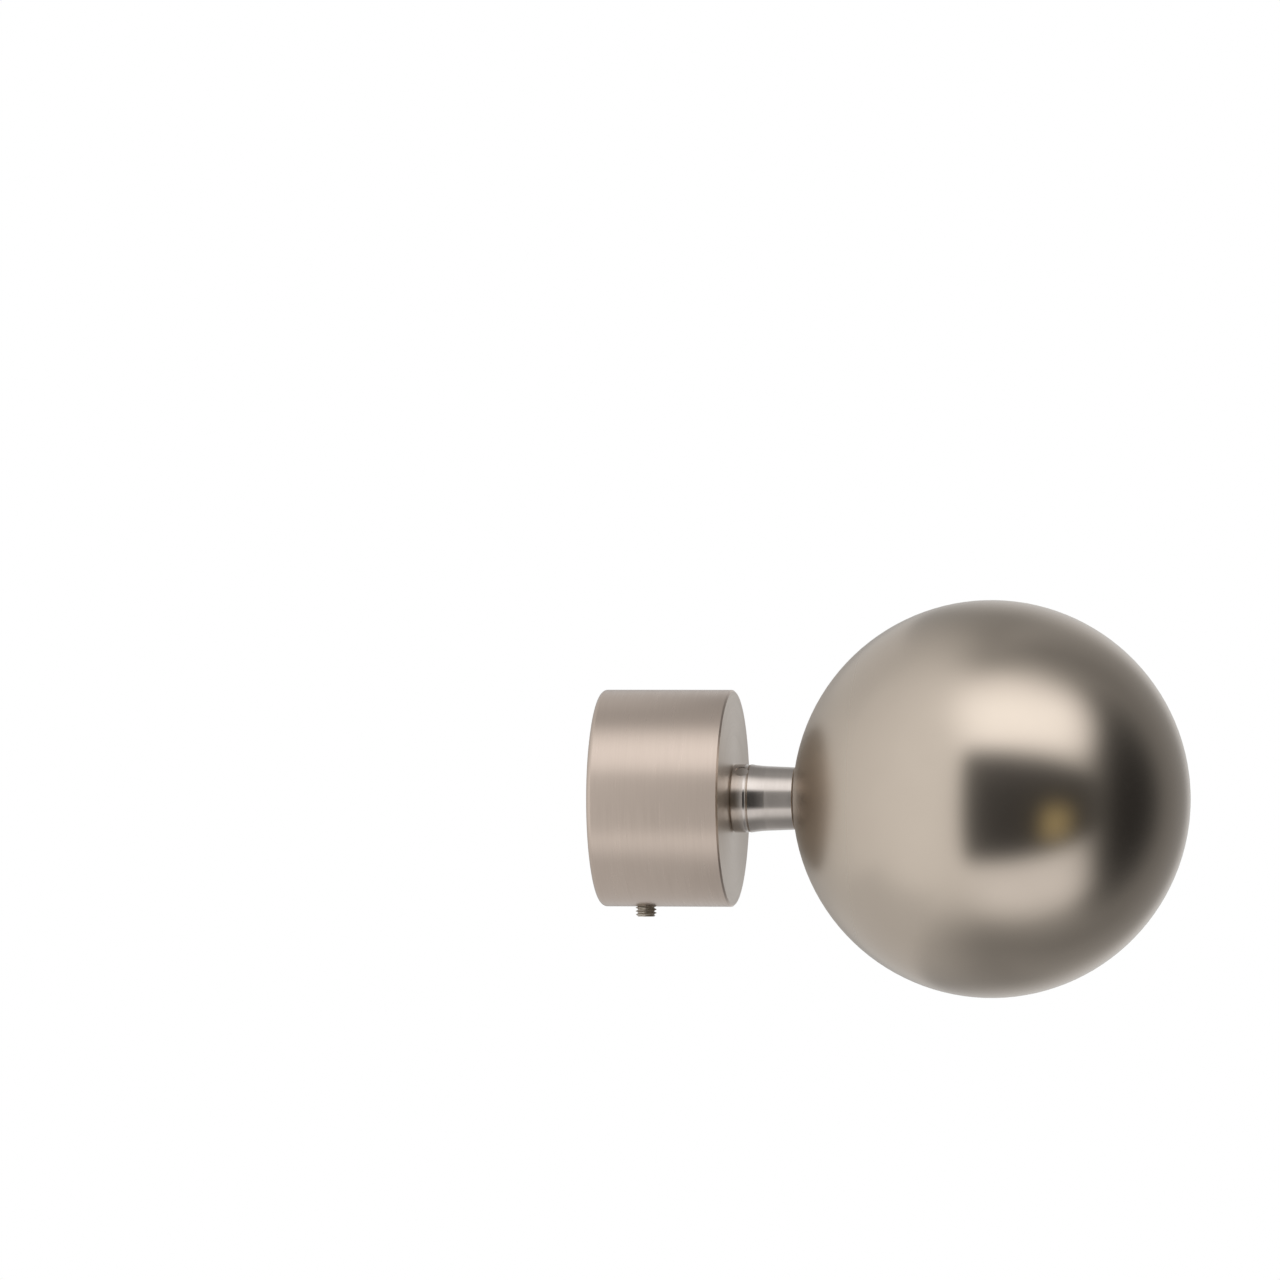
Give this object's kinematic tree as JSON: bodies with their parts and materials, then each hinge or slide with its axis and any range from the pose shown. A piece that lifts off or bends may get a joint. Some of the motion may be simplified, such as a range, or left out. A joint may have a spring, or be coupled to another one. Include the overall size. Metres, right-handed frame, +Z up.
{
  "type": "curtain pole finial",
  "caption": "Ball finial with a turned neck and a round socket cap that slides over the end of a curtain pole and is clamped by a grub screw.",
  "frame": {"origin": "centre of the socket floor, on the pole axis, where the end of the pole seats", "axes": "+X along the pole axis from the pole to the ball, +Z up, with the grub screw at -Z"},
  "size_m": [0.0849, 0.057, 0.057],
  "materials": {
    "satin_nickel": "satin nickel plate on steel, fine brushed",
    "screw_steel": "plain hardened steel with machined threads"
  },
  "bodies": {
    "finial": {"end_cap": "satin_nickel", "neck": "satin_nickel", "cap_screw": "screw_steel", "ball": "satin_nickel", "ball_bush": "screw_steel"},
    "grub_screw": {"grub_screw": "screw_steel"}
  },
  "joints": [
    {"name": "grub_screw_feed", "type": "slide", "parent": "finial", "child": "grub_screw", "axis": [0, 0, 1], "range_m": [-0.0005, 0.0014]}
  ]
}
